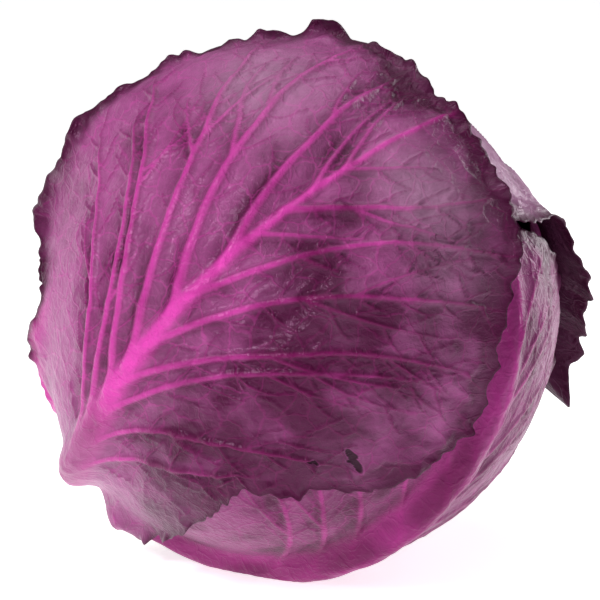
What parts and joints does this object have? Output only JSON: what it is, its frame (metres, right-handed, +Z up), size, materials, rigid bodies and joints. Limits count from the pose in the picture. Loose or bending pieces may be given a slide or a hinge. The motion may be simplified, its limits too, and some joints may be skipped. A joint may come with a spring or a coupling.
{
  "type": "red cabbage head",
  "caption": "Red cabbage head lying on its side: veined purple wrapper leaves with frilled margins folded round a tight ball of leaves on a cut stem.",
  "frame": {"origin": "on the surface the head lies on, under the centre of its box", "axes": "+Z up; the front wrapper leaf faces -Y, and the crown leans up and towards +X"},
  "size_m": [0.1727, 0.1539, 0.1594],
  "materials": {
    "stem_flesh": "matte",
    "inner_leaf": "satin",
    "underside_leaf": "satin",
    "left_leaf": "satin",
    "lower_leaf": "satin",
    "back_leaf": "satin",
    "front_leaf": "satin"
  },
  "bodies": {
    "root": {"stem_core": "stem_flesh", "heart": "inner_leaf", "inner_leaf_1": "inner_leaf", "inner_leaf_2": "inner_leaf", "inner_leaf_3": "inner_leaf", "inner_leaf_4": "inner_leaf", "inner_leaf_5": "inner_leaf", "inner_leaf_6": "inner_leaf", "underside_wrapper_leaf": "underside_leaf", "left_wrapper_leaf": "left_leaf", "lower_wrapper_leaf": "lower_leaf", "back_wrapper_leaf": "back_leaf", "front_wrapper_leaf": "front_leaf"}
  },
  "joints": []
}
